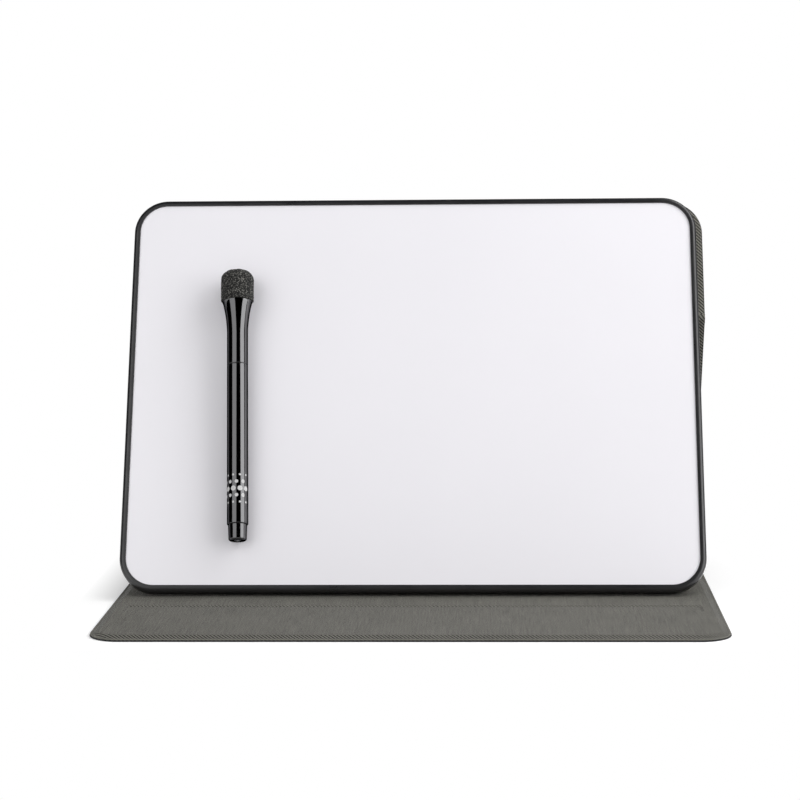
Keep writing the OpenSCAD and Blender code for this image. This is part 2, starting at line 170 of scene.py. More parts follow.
def places():
    cover, board, marker = sizes()
    rear = Vector(JOINTS["lay_back"]["pos_m"])
    knee = Vector(JOINTS["knee_fold"]["pos_m"])
    face = Vector(JOINTS["marker_lift"]["axis"]).normalized()
    up = Vector((0.0, face.z, -face.y))
    hinge_h = (cover.skin + cover.lining) / 2
    thick = cover.skin + cover.core + cover.lining
    rise = (knee - rear).normalized()
    inward = Vector((0.0, -rise.z, rise.y))
    foot = knee - cover.knee * up + (cover.panel_gap + thick - hinge_h) * face
    foot.x = -board.shift
    at = {
        "base": Matrix.Translation((0.0, rear.y - cover.front - cover.spine, 0.0)),
        "leg": laid(rear - hinge_h * inward, rise, inward),
        "board": laid(foot, up, face),
        "rear_crease": Matrix.Translation(rear),
        "knee_crease": laid(knee, rise, inward),
    }
    at["panel"] = at["board"] @ Matrix.Translation((board.shift, 0.0, -cover.panel_gap - thick))
    cap_length = marker.skirt + marker.flare
    tilt = asin((marker.eraser - marker.barrel) / (marker.barrel_length + cap_length))
    height = (board.thickness - board.lip + marker.rest_gap + marker.barrel * cos(tilt)
              - marker.plug_length * sin(tilt))
    at["marker"] = (at["board"] @ Matrix.Translation((-marker.left, marker.up, height))
                    @ Matrix.Rotation(marker.slant, 4, "Z")
                    @ Matrix.Rotation(tilt - pi / 2, 4, "X"))
    at["cap"] = at["marker"] @ Matrix.Translation((0, 0, marker.plug_length + marker.barrel_length))
    at["eraser"] = at["cap"] @ Matrix.Translation((0, 0, cap_length))
    rear_bend = atan2(rise.z, rise.y)
    return at, rear_bend, atan2(up.z, up.y) - rear_bend


# Modelling by hand, in code

SLACK = 2e-6  # two places this near are one
LOOSE = 1e-5  # the same, on a line that an inset has moved
CENTRED = 1e-3  # how near its panel's middle the face in the middle lies
# Z of the normal of a face that lies flat, lies level, slopes, stands in a plate or upright
FLAT, LEVEL, SLOPING, WALL, UPRIGHT = 0.99, 0.97, 0.3, 0.5, 0.1
SMOOTH_BELOW = radians(40)  # faces that meet at less are shaded as one
CORNER_STEPS, FIELD_STEPS = 20, 6  # facets in a corner of a panel and of a raised field
SKIN_ROUND, SKIN_STEPS = 0.36, 3  # rounding of a skin's edges, as a share of its thickness
SKIN_AREA, PANEL_AREA, FRONT_AREA = 1e-3, 5e-3, 0.02  # smaller faces aren't the main one
WELD_AT, WELD_WALL, WELD_FLOOR, WELD_DEPTH = 0.0016, 0.0003, 0.0005, 0.00014
WELD_LOW, WELD_HIGH = 0.00005, 0.0002  # heights between which a face of the weld is pressed
TRIM = 0.0003  # the lining ends this far inside the skin
FIELD_SLOPE, PANEL_SLOPE, SPINE_SLOPE, CHANNEL_SLOPE = 0.003, 0.0005, 0.0007, 0.0012
FIELD_FOOT = 0.0007  # how far the front field's slope reaches into the margin
CHANNEL_SINK = 1.8  # times the channel's depth that the lining sinks
FORM_ROUND, FORM_ANGLE = 0.00022, radians(18)  # softness of a formed lining's steps
CUT_EDGE_HIGHLIGHT, SLOPE_SHADE, WELD_MARK = -1.0, 1.3, 1.0  # marks: a painted highlight on cut edges, painted shade on slopes, the weld's pressed threads


def put_down():
    """Leaves edit mode and deselects everything"""
    if bpy.context.object and bpy.context.object.mode != "OBJECT":
        bpy.ops.object.mode_set(mode="OBJECT")
    bpy.ops.object.select_all(action="DESELECT")


def take(piece):
    put_down()
    piece.select_set(True)
    bpy.context.view_layer.objects.active = piece


def work_on(piece):
    take(piece)
    bpy.ops.object.mode_set(mode="EDIT")


def begin(name, scale=(1, 1, 1)):
    """Names the primitive just added, puts its size in its mesh and opens it for work"""
    piece = bpy.context.object
    piece.name = piece.data.name = name
    piece.scale = scale
    bpy.ops.object.transform_apply()
    work_on(piece)
    return piece


def pick(kind, test):
    """Selects the vertices, edges or faces of the piece in work that pass the test"""
    bpy.ops.mesh.select_mode(type=kind)
    bpy.ops.mesh.select_all(action="DESELECT")
    mesh = bpy.context.object.data
    shape = bmesh.from_edit_mesh(mesh)
    shape.normal_update()
    items = {"VERT": shape.verts, "EDGE": shape.edges, "FACE": shape.faces}[kind]
    found = [item for item in items if test(item)]
    if not found:
        raise RuntimeError(f"{bpy.context.object.name}: nothing to select")
    for item in found:
        item.select_set(True)
    shape.select_flush_mode()
    bmesh.update_edit_mesh(mesh)


def pick_faces(test=lambda face: True):
    pick("FACE", test)


def near(a, b, slack=SLACK):
    return abs(a - b) < slack


def mid(face):
    return face.calc_center_median()


def inset(width, depth=0.0):
    """Insets the picked faces, and raises or sinks them by the depth"""
    bpy.ops.mesh.inset(thickness=width, depth=depth)


def cut(point, normal, **choices):
    bpy.ops.mesh.bisect(plane_co=point, plane_no=normal, **choices)


def extrude(x, y, z):
    bpy.ops.mesh.extrude_region_move(TRANSFORM_OT_translate={"value": (x, y, z)})


def bevel(width, steps, affect):
    bpy.ops.mesh.bevel(offset=width, segments=steps, affect=affect)


def soften(width, steps, test):
    """Rounds the edges that pass the test"""
    pick("EDGE", test)
    bevel(width, steps, "EDGES")


def round_corners(radius, steps, test):
    pick("VERT", test)
    bevel(radius, steps, "VERTICES")


def straighten():
    bpy.ops.mesh.select_all(action="SELECT")
    bpy.ops.mesh.remove_doubles(threshold=1e-6)
    bpy.ops.mesh.normals_make_consistent()


def outline(name, width, y0, y1, z, r0=0.0, r1=0.0):
    """Flat face centred on X, with rounded corners at its lower and upper end"""
    put_down()
    bpy.ops.mesh.primitive_plane_add(size=1, location=(0, (y0 + y1) / 2, z))
    piece = begin(name, (width, y1 - y0, 1))
    for y, radius in ((y0, r0), (y1, r1)):
        if radius > 0:
            round_corners(radius, CORNER_STEPS, lambda v: near(v.co.y, y))
    return piece


def rim_edges(edge, z):
    """Edges of a plate where its flat side at z meets its wall"""
    ends = all(near(v.co.z, z) for v in edge.verts)
    return ends and any(abs(f.normal.z) < WALL for f in edge.link_faces)


def modify(piece, kind, **settings):
    """Adds a modifier and applies it"""
    take(piece)
    bpy.ops.object.modifier_add(type=kind)
    added = piece.modifiers[-1]
    for name, value in settings.items():
        setattr(added, name, value)
    bpy.ops.object.modifier_apply(modifier=added.name)


def complete(piece, place, body, material, nodes, flat=True):
    """Puts a shaped piece in its place, with its finish, and attaches it to its body if it has one
    """
    work_on(piece)
    straighten()
    take(piece)
    bpy.ops.object.shade_smooth_by_angle(angle=SMOOTH_BELOW)
    if flat:
        modify(piece, "WEIGHTED_NORMAL", weight=100, keep_sharp=True)
    piece.matrix_world = place
    bpy.ops.object.transform_apply()
    piece.data.materials.append(material)
    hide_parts(*nodes)
    if body:
        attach(piece, body)
    put_down()


def mark_pressed(piece, how_much):
    """Writes on each face a mark: the weld's pressed threads, painted shade on a slope, or a
    painted highlight on a cut edge
    """
    mark = piece.data.attributes.new("pressed", "FLOAT", "FACE")
    for face, value in zip(piece.data.polygons, mark.data):
        value.value = how_much(face)


def skin_plate(name, y0, y1, r0, r1):
    """Outer skin: soft edges, and a weld line pressed into its outer side"""
    cover, _, _ = sizes()
    thick = cover.skin
    piece = outline(name, cover.width, y0, y1, thick, r0, r1)
    pick_faces()
    extrude(0, 0, -thick)
    straighten()
    soften(thick * SKIN_ROUND, SKIN_STEPS, lambda e: rim_edges(e, 0) or rim_edges(e, thick))
    pick_faces(lambda f: f.normal.z < -FLAT and len(f.verts) > 3 and near(mid(f).z, 0)
               and f.calc_area() > SKIN_AREA)
    for width, depth in ((WELD_AT, 0.0), (WELD_WALL, -WELD_DEPTH), (WELD_FLOOR, 0.0),
                         (WELD_WALL, WELD_DEPTH)):
        inset(width, depth)
    put_down()
    mark_pressed(piece, lambda f: WELD_MARK if WELD_LOW < f.center.z < WELD_HIGH else 0.0)
    return piece


# painted light: upright faces get a painted highlight, sloping faces get painted shade
def highlight_and_shade_mark(face):
    if face.normal.z < SLOPING:
        return CUT_EDGE_HIGHLIGHT
    return SLOPE_SHADE if face.normal.z < LEVEL else 0.0


def give_body(piece, thick):
    """Gives a formed lining its thickness downwards, softens its steps, and marks painted shade on
    its slopes and a painted highlight on its upright cut edges
    """
    work_on(piece)
    straighten()
    if piece.data.polygons[0].normal.z < 0:
        bpy.ops.mesh.flip_normals()
    put_down()
    modify(piece, "SOLIDIFY", thickness=thick, offset=-1, use_even_offset=True)
    modify(piece, "BEVEL", width=FORM_ROUND, segments=2, limit_method="ANGLE",
           angle_limit=FORM_ANGLE)
    mark_pressed(piece, highlight_and_shade_mark)


# Surface effects shared by several finishes


def adds(operation):
    """Method that adds a Math node fed by its wire and by what it is combined with"""
    return lambda wire, *others: maths(operation, wire, *others)


class Wire:
    """Output of a shader node. Sums with wires add Math nodes to their tree."""
    __add__, __sub__, __mul__ = adds("ADD"), adds("SUBTRACT"), adds("MULTIPLY")
    __truediv__, __abs__ = adds("DIVIDE"), adds("ABSOLUTE")
    __lt__, __gt__ = adds("LESS_THAN"), adds("GREATER_THAN")

    def __init__(self, socket):
        self.socket = socket

    def __rsub__(self, other):
        return maths("SUBTRACT", other, self)

    def __getitem__(self, label):
        """Another output of the same node"""
        return Wire(self.socket.node.outputs[label])


def source(tree, kind, **settings):
    """Adds a node, sets it up and returns its first output"""
    made = tree.nodes.new("ShaderNode" + kind)
    made.location = (190 * (len(tree.nodes) % 12), -230 * (len(tree.nodes) // 12))
    for name, value in settings.items():
        setattr(made, name, value)
    return Wire(made.outputs[0])


def node(kind, feeds, **settings):
    """Adds a node to the tree of the wires that feed it, and fills its other inputs"""
    tree = next(value.socket.id_data for value in feeds.values() if isinstance(value, Wire))
    first = source(tree, kind, **settings)
    for key, value in feeds.items():
        socket = first.socket.node.inputs[key]
        if isinstance(value, Wire):
            tree.links.new(value.socket, socket)
        else:
            socket.default_value = value
    return first


def feed(target, **wires):
    """Links wires to a node's inputs; a label's spaces are written as underscores"""
    for label, wire in wires.items():
        target.id_data.links.new(wire.socket, target.inputs[label.replace("_", " ")])


def maths(operation, *values):
    return node("Math", dict(enumerate(values)), operation=operation)


def whole(value):
    return maths("FLOOR", value)


def fraction(value):
    return maths("FRACT", value)


def larger(first, second):
    return maths("MAXIMUM", first, second)


def noise(where, scale, detail, roughness=0.5):
    return node("TexNoise", {"Vector": where, "Scale": scale, "Detail": detail,
                             "Roughness": roughness})


def spread(value, low, high, to_low, to_high):
    """Maps a value from one range to another and clamps it"""
    feeds = {"Value": value, "From Min": low, "From Max": high, "To Min": to_low, "To Max": to_high}
    return node("MapRange", feeds)


def scaled(where, scale):
    return node("Mapping", {"Vector": where, "Scale": scale})


def mixed(factor, first, second, how="MIX"):
    """Mix of two colours, each plain or a wire"""
    first, second = (c if isinstance(c, Wire) else (*c, 1.0) for c in (first, second))
    return node("Mix", {0: factor, 6: first, 7: second}, data_type="RGBA", blend_type=how)[2]


def between(factor, first, second):
    """Mix of two numbers"""
    return node("Mix", {0: factor, 2: first, 3: second})


def effect(name, inputs, outputs):
    """Empty node group with a vector input, float inputs and float outputs"""
    tree = bpy.data.node_groups.new(name, "ShaderNodeTree")
    tree.interface.new_socket("Vector", in_out="INPUT", socket_type="NodeSocketVector")
    for label, value in inputs.items():
        socket = tree.interface.new_socket(label, in_out="INPUT", socket_type="NodeSocketFloat")
        socket.default_value = value
    for label in outputs:
        tree.interface.new_socket(label, in_out="OUTPUT", socket_type="NodeSocketFloat")
    given = Wire(tree.nodes.new("NodeGroupInput").outputs[0])
    return tree, given, tree.nodes.new("NodeGroupOutput")


def twill_effect():
    """Threads that pass over two and under two, each row one thread further on"""
    tree, given, out = effect("Twill weave", {"Thread": 0.00047, "Pressed": 0.0},
                              ("Height", "Shade", "Roughness"))
    where, thread, pressed = given["Vector"], given["Thread"], given["Pressed"]
    drift = node("VectorMath", {0: noise(where, 90.0, 1.0)["Color"], 1: (0.0005, 0.0005, 0.0)},
                 operation="MULTIPLY")
    cell = node("SeparateXYZ", {0: node("VectorMath", {0: where, 1: drift}, operation="ADD")})
    across, along = cell["X"] / thread, cell["Y"] / thread
    over = maths("WRAP", whole(across) + whole(along), 4.0, 0.0) < 1.5
    warp, weft = (maths("SINE", fraction(way) * pi) for way in (across, along))
    height = between(over, weft * 0.55, warp)

    fuzz = (noise(where, 5200.0, 2.0) - 0.5) * 0.6
    cloud = (noise(where, 34.0, 4.0, 0.6) - 0.5) * 0.3
    yarn = (noise(scaled(where, (1300.0, 45.0, 1.0)), 1.0, 1.0) - 0.5) * 0.85
    threads = spread(height, 0.15, 1.0, 0.35, 1.65) * spread(over, 0.0, 1.0, 0.3, 1.65)
    # painted shade: slopes are painted darker, as are the weld's pressed grooves; cut edges get a
    # painted highlight, 1.7 times lighter
    weld_and_slope_shade = 1.0 - pressed * 0.14
    cut_edge_highlight = spread(pressed, -1.0, 0.0, 1.0, 0.0)
    feed(out, Height=height + fuzz * 0.6,
         Shade=between(cut_edge_highlight, (threads + (fuzz + (cloud + yarn))) * weld_and_slope_shade, 1.7),
         Roughness=spread(height, 0.0, 1.0, 0.9, 0.6) - pressed * 0.15)
    return tree


def moulded_effect():
    """Faint ripple, dust and handling marks on moulded plastic"""
    tree, given, out = effect("Moulded surface", {"Gloss": 0.2}, ("Height", "Roughness", "Dust"))
    where = given["Vector"]
    marks = noise(where, 70.0, 5.0, 0.65)
    feed(out, Height=noise(where, 240.0, 2.0),
         Roughness=spread(marks, 0.3, 0.75, 0.8, 1.45) * given["Gloss"],
         Dust=spread(noise(where, 2600.0, 1.0), 0.72, 0.8, 0.0, 1.0))
    return tree


def fibre_effect():
    """Matted short fibres, for felt, board and pressed rods"""
    tree, given, out = effect("Matted fibres", {"Fibre": 0.0003}, ("Height", "Fleck"))
    where, scale = given["Vector"], maths("DIVIDE", 1.0, given["Fibre"])
    cells = node("TexVoronoi", {"Vector": where, "Scale": scale})
    matted = node("TexNoise", {"Vector": where, "Scale": scale * 0.7, "Detail": 4.0,
                               "Roughness": 0.7, "Distortion": 0.8})
    fleck = spread(cells["Distance"], 0.1, 0.6, 1.0, 0.0) * spread(matted, 0.42, 0.68, 0.0, 1.0)
    feed(out, Height=matted + fleck * 0.4, Fleck=fleck)
    return tree


def shared(name, build, where, **values):
    """Places a shared effect in a finish, and builds it the first time"""
    group = bpy.data.node_groups.get(name) or build()
    return node("Group", {"Vector": where, **values}, node_tree=group)


# Finishes

THREAD_RELIEF, SURFACE_RELIEF, SHEET_RELIEF = 0.00012, 0.00002, 0.00004
SKIN_GLEAM, LINING_GLEAM, TWILL_SHEEN = 0.35, 0.2, 0.03
DOT_PITCH, DOT_ROWS, DOTS_START = 0.0036, 5.0, 0.0176  # rows of dots, from the barrel's end
LARGE_DOT, SMALL_DOT, DOT_BLUR = 0.36, 0.1, 0.03  # radii as shares of the pitch
DOTS_ASIDE = 2.0  # columns on each side of the front


def finish(name, **constants):
    """New material with its shader's plain values, and its object coordinates"""
    material = bpy.data.materials.new(name)
    material.use_nodes = True
    shader = material.node_tree.nodes["Principled BSDF"]
    for label, value in constants.items():
        socket = shader.inputs[label.replace("_", " ")]
        socket.default_value = (*value, 1.0) if hasattr(value, "__len__") else value
    return material, shader, source(material.node_tree, "TexCoord")["Object"]


def relief(shader, height, distance, strength):
    bump = node("Bump", {"Height": height, "Distance": distance, "Strength": strength})
    feed(shader, Normal=bump)


def tone(shader, tint, shade):
    """Base colour times a shade that changes over the surface"""
    grey = node("CombineColor", {0: shade, 1: shade, 2: shade})
    feed(shader, Base_Color=mixed(1.0, tint, grey, "MULTIPLY"))


def twill(name, tint, place, gleam=LINING_GLEAM):
    """Woven finish whose threads follow the panel that lies at the given place"""
    material, shader, coords = finish(name, Sheen_Weight=TWILL_SHEEN, Sheen_Roughness=0.5,
                                      Specular_IOR_Level=gleam)
    turn = place.to_3x3().inverted().to_euler()
    along_panel = node("Mapping", {"Vector": coords, "Rotation": turn})
    # the attribute carries the weld's pressing, painted shade on slopes and a painted highlight on
    # cut edges
    pressed = source(material.node_tree, "Attribute", attribute_name="pressed")["Fac"]
    weave = shared("Twill weave", twill_effect, along_panel, Pressed=pressed)
    tone(shader, tint, weave["Shade"])
    feed(shader, Roughness=weave["Roughness"])
    relief(shader, weave["Height"], THREAD_RELIEF, 0.7)
    return material


def smooth(name, clean, dusty, gloss, ripple, **constants):
    """Smooth surface with a little dust, for the moulded and lacquered finishes"""
    material, shader, coords = finish(name, **constants)
    surface = shared("Moulded surface", moulded_effect, coords, Gloss=gloss)
    feed(shader, Base_Color=mixed(surface["Dust"], clean, dusty), Roughness=surface["Roughness"])
    relief(shader, surface["Height"], SURFACE_RELIEF, ripple)
    return material


def moulded(name, tint, gloss, **constants):
    dusty = [min(1.0, c + 0.05) for c in tint]
    return smooth(name, tint, dusty, gloss, 0.25, **constants)


def lacquered(name, mirror, gloss):
    """Deep black lacquer over metal: bright box reflections, flanks that stay dark"""
    dusty = [min(1.0, c * 1.3) for c in mirror]
    return smooth(name, mirror, dusty, gloss, 0.15, Metallic=1.0, Specular_Tint=(0.0, 0.0, 0.0))


def fibrous(name, dark, light, fibre, depth):
    material, shader, coords = finish(name, Roughness=0.95)
    fibres = shared("Matted fibres", fibre_effect, coords, Fibre=fibre)
    feed(shader, Base_Color=mixed(fibres["Fleck"], dark, light))
    relief(shader, fibres["Height"], depth, 0.8)
    return material


def coated_sheet(name, tint, gloss):
    """Dry-wipe coating: very even, with faint wiping traces in its gloss"""
    material, shader, coords = finish(name, Coat_Weight=0.35, Coat_Roughness=0.12)
    traces = noise(scaled(coords, (14.0, 90.0, 90.0)), 1.6, 5.0, 0.6)
    tone(shader, tint, spread(noise(coords, 9.0, 2.0), 0.3, 0.7, 0.988, 1.006))
    feed(shader, Roughness=spread(traces, 0.3, 0.7, gloss * 0.97, gloss * 1.04))
    relief(shader, noise(coords, 28.0, 2.0), SHEET_RELIEF, 0.15)
    return material


def plated(name, tint):
    """Plated metal with a drawn grain along X"""
    material, shader, coords = finish(name, Metallic=1.0)
    grain = noise(scaled(coords, (60.0, 2400.0, 2400.0)), 1.0, 4.0, 0.6)
    tone(shader, tint, spread(grain, 0.3, 0.7, 0.86, 1.08))
    feed(shader, Roughness=spread(grain, 0.3, 0.7, 0.28, 0.45))
    relief(shader, grain, SURFACE_RELIEF, 0.4)
    return material


def dotted(material, place, tint, radius):
    """Adds staggered rows of printed dots to the barrel's front, large ones in the middle"""
    shader = material.node_tree.nodes["Principled BSDF"]
    turn = place.to_3x3().inverted()
    coords = source(material.node_tree, "TexCoord")["Object"]
    part = node("SeparateXYZ", {0: node("Mapping", {
        "Vector": coords, "Rotation": turn.to_euler(), "Location": -(turn @ place.translation)})})
    bearing = maths("ARCTAN2", part["X"], part["Y"] * -1.0)
    row = (part["Z"] - DOTS_START) / DOT_PITCH
    stagger = maths("WRAP", whole(row), 2.0, 0.0) * 0.5
    column = bearing * (radius / DOT_PITCH) + stagger
    from_column, from_row = (maths("POWER", abs(fraction(way) - 0.5), 2.0) for way in (column, row))
    reach = maths("SQRT", from_column + from_row)
    from_middle = abs(whole(row) - (DOT_ROWS - 1) / 2)
    dot_size = spread(from_middle, 0.0, DOT_ROWS / 2, LARGE_DOT, SMALL_DOT)
    dot = spread(reach - dot_size, -DOT_BLUR, DOT_BLUR, 1.0, 0.0)
    in_rows = (row > 0.0) * (row < DOT_ROWS)
    in_front = abs(whole(column) + 0.5) < DOTS_ASIDE
    mask = dot * (in_rows * in_front)
    plain = Wire(shader.inputs["Base Color"].links[0].from_socket)
    feed(shader, Base_Color=mixed(mask, plain, tint), Metallic=1.0 - mask)
    return material


def clothe(names, material):
    """Gives CAD nodes that stay visible their finish"""
    for name in names:
        piece = frame["nodes"][name]
        for slot in piece.material_slots:
            slot.material = material
        if not piece.material_slots:
            piece.data.materials.append(material)


# Pieces

FLAP_STEPS, FOLD_STEPS, KNEE_STEPS = 4, 12, 16  # facets of a crease's flaps and rolls
BEAD_STEPS, BACK_STEPS, LIP_STEPS, LIP_ROUND = 10, 6, 3, 0.00025
AROUND, FELT_AROUND = 96, 128  # facets round the marker and the eraser
END_ROUND, SEEN_BORE = 0.0004, 0.02  # barrel's and cap's ends, depth of the bore
PLUG_ROUND, PLUG_FIT, PLUG_SEAT = 0.001, 0.00005, 0.007
PLUG_DIMPLE = ((0.0006, 0.0013), (0.0001, 0.0015), (0.0, 0.0017))  # height and radius
PLUG_EDGE, PLUG_CHAMFER = 0.0003, 0.0001  # last facets before the seam with the barrel
CAP_LIP, BORE_LIP, BORE_EDGE, FLARE_STEPS = 0.0003, 0.0002, 0.0003, 22
FELT_CENTRE, FELT_BORDER = 0.0005, 0.003  # radius of the first facet, width of the last ring
FELT_FOOT, FELT_ROWS, FELT_CROWN = 0.0007, 16, 0.00015
FLUFF = ((0.0016, 0.0005), (0.0006, 0.0003))  # grain and height of the felt's fluff


def dress(piece, place, body, slot, where, nodes):
    """Finishes the skin or the lining of a panel in twill that follows the panel"""
    tints = bpy.context.scene.easel_colours
    if slot == "outer_skin":
        material = twill(f"Skin twill {where}", tints.skin, place, SKIN_GLEAM)
    else:
        material = twill(f"Lining twill {where}", tints.lining, place)
    complete(piece, place, body, material, nodes)


class EASEL_OT_front_cover(Operator):
    """Skin and lining of the front panel and spine, which lie on the desk"""
    bl_idname = "easel.front_cover"
    bl_label = "Front cover"

    def execute(self, context):
        cover, _, _ = sizes()
        place, corner = places()[0]["base"], cover.front_corner
        end = cover.front + cover.spine - cover.crease
        low = cover.skin + cover.lining
        skin = skin_plate("front_cover_skin", 0, end, corner, 0)
        dress(skin, place, "front_cover", "outer_skin", "on the desk", ["base_outer_skin"])

        lining = outline("front_cover_lining", cover.width - 2 * TRIM, TRIM, end, low,
                         corner - TRIM)
        split = cover.front + cover.crease
        pick_faces()
        cut((0, split, low), (0, 1, 0))
        pick_faces(lambda f: mid(f).y < split)
        inset(cover.margin - FIELD_SLOPE - FIELD_FOOT)
        back = split - cover.margin + FIELD_SLOPE + FIELD_FOOT
        round_corners(cover.field_corner + FIELD_SLOPE, FIELD_STEPS,
                      lambda v: near(v.co.y, back, LOOSE))
        pick_faces(lambda f: near(max(v.co.y for v in f.verts), back, LOOSE)
                   and f.calc_area() > FRONT_AREA)
        inset(FIELD_SLOPE, cover.core)

        # the spine's narrow field, between the side margins
        pick_faces(lambda f: mid(f).y > split and len(f.verts) > 3)
        for side in (-1, 1):
            cut((side * (cover.width / 2 - cover.margin), split, low), (1, 0, 0))
            pick_faces(lambda f: mid(f).y > split and near(mid(f).z, low))
        pick_faces(lambda f: mid(f).y > split and near(mid(f).x, 0, CENTRED))
        inset(SPINE_SLOPE, cover.core)

        # the channel that holds the board's foot at its low angle
        top = low + cover.core
        half = cover.channel_width / 2
        side = cover.width / 2 - cover.channel_inset
        across, along = (1, 0, 0), (0, 1, 0)
        for x, y, normal in ((0, cover.channel - half, along), (0, cover.channel + half, along),
                             (side, 0, across), (-side, 0, across)):
            pick_faces(lambda f: near(mid(f).z, top) and mid(f).y < split)
            cut((x, y, top), normal)
        pick_faces(lambda f: near(mid(f).z, top)
                   and (mid(f) - Vector((0, cover.channel, top))).length < CENTRED)
        inset(CHANNEL_SLOPE, -CHANNEL_SINK * cover.channel_depth)
        give_body(lining, cover.lining)
        dress(lining, place, "front_cover", "lining", "on the desk", ["base_lining"])
        return {"FINISHED"}


def raised_lining(name, y0, y1, field0, field1, r1):
    """Lining of a panel that has one stiffener between two distances along it"""
    cover, _, _ = sizes()
    low = cover.skin + cover.lining
    lining = outline(name, cover.width - 2 * TRIM, field0 - cover.margin + TRIM,
                     field1 + cover.margin - TRIM, low, 0, max(0.0, r1 - TRIM))
    pick_faces()
    inset(cover.margin - TRIM)
    for line in (field0,) if r1 else (field1, field0):
        round_corners(cover.field_corner, FIELD_STEPS, lambda v: near(v.co.y, line, LOOSE)
                      and near(abs(v.co.x), cover.width / 2 - cover.margin, LOOSE))
    for line, side in ((y0, -1), (y1, 1)):
        pick_faces()
        cut((0, line, low), (0, side, 0), clear_outer=True)
    pick_faces(lambda f: near(mid(f).x, 0, CENTRED)
               and min(v.co.y for v in f.verts) > field0 - LOOSE and f.calc_area() > PANEL_AREA)
    inset(PANEL_SLOPE, cover.core)
    give_body(lining, cover.lining)
    return lining


class EASEL_OT_leg(Operator):
    """Skin and lining of the leg behind the board"""
    bl_idname = "easel.leg"
    bl_label = "Leg"

    def execute(self, context):
        cover, _, _ = sizes()
        place = places()[0]["leg"]
        rise = Vector(JOINTS["knee_fold"]["pos_m"]) - Vector(JOINTS["lay_back"]["pos_m"])
        start, end = cover.crease, rise.length - cover.crease
        skin = skin_plate("leg_skin", start, end, 0, 0)
        dress(skin, place, "leg", "outer_skin", "on the leg", ["leg_outer_skin"])
        lining = raised_lining("leg_inner_lining", start, end, start + cover.relief, end, 0)
        dress(lining, place, "leg", "lining", "on the leg", ["leg_lining"])
        return {"FINISHED"}


class EASEL_OT_back_panel(Operator):
    """Skin and lining of the panel that is taped to the board's back"""
    bl_idname = "easel.back_panel"
    bl_label = "Back panel"

    def execute(self, context):
        cover, board, _ = sizes()
        place, corner = places()[0]["panel"], cover.top_corner
        start, end = cover.knee + cover.crease, board.height + cover.overhang
        skin = skin_plate("back_panel_skin", start, end, 0, corner)
        dress(skin, place, "board", "outer_skin", "behind the board", ["upper_outer_skin"])
        lining = raised_lining("back_panel_lining", start, end, start, end - cover.margin, corner)
        dress(lining, place, "board", "lining", "behind the board", ["upper_lining"])
        return {"FINISHED"}


def crease_layer(name, low, high, bend, whole_roll):
    """One layer of a folded crease, from its first flap to the middle or the end of its roll"""
    cover, _, _ = sizes()
    roll = cover.roll + (cover.skin + cover.lining) / 2
    lead = roll * tan(abs(bend) / 2)
    turn = bend if whole_roll else bend / 2
    step = (cover.crease - lead) / FLAP_STEPS
    put_down()
    bpy.ops.mesh.primitive_plane_add(size=1, location=(0, -cover.crease, (low + high) / 2),
                                     rotation=(pi / 2, 0, 0))
    piece = begin(name, (cover.width, high - low, 1))
    pick_faces()
    for _ in range(FLAP_STEPS):
        extrude(0, step, 0)
    sign = 1 if bend > 0 else -1
    bpy.ops.mesh.spin(steps=KNEE_STEPS if whole_roll else FOLD_STEPS, angle=abs(turn),
                      center=(0, -lead, sign * roll), axis=(-sign, 0, 0))
    if whole_roll:
        for _ in range(FLAP_STEPS):
            extrude(0, step * cos(bend), step * sin(bend))
    straighten()
    return piece


class EASEL_OT_creases(Operator):
    """Rear crease and knee, each a skin and a lining, shaped as folded"""
    bl_idname = "easel.creases"
    bl_label = "Creases"

    def execute(self, context):
        cover, _, _ = sizes()
        at, rear_bend, knee_bend = places()
        tints = context.scene.easel_colours
        hinge_h = (cover.skin + cover.lining) / 2
        layers = (("skin", -hinge_h, cover.skin - hinge_h, "outer_skin", tints.skin),
                  ("lining", cover.skin - hinge_h, hinge_h, "lining", tints.lining))
        half = (pi + rear_bend) / 2
        inward = Vector((0, cos(half), sin(half)))
        roll = cover.roll + hinge_h
        bulge = roll / cos(rear_bend / 2) - roll
        rear, knee = at["rear_crease"], at["knee_crease"]
        opposite = rear @ Matrix.Rotation(pi, 4, inward)
        for label, low, high, slot, tint in layers:
            material = twill(f"Crease {label}", tint, at["base"])
            for side, place in (("desk", rear), ("leg", opposite)):
                piece = crease_layer(f"rear_crease_{label}_{side}", low, high, rear_bend, False)
                complete(piece, place, None, material, ["rear_crease"], flat=False)
                start = place @ Vector((0, -cover.crease, 0))
                if side == "desk":
                    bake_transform(piece)
                else:
                    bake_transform(piece)
            piece = crease_layer(f"knee_crease_{label}", low, high, knee_bend, True)
            complete(piece, knee, None, twill(f"Knee {label}", tint, at["leg"]),
                     ["knee_crease"], flat=False)
            knee @ Vector((0, -cover.crease, 0))
            (knee @ Vector((0, cover.crease * cos(knee_bend),
                                    cover.crease * sin(knee_bend))))
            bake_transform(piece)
        return {"FINISHED"}


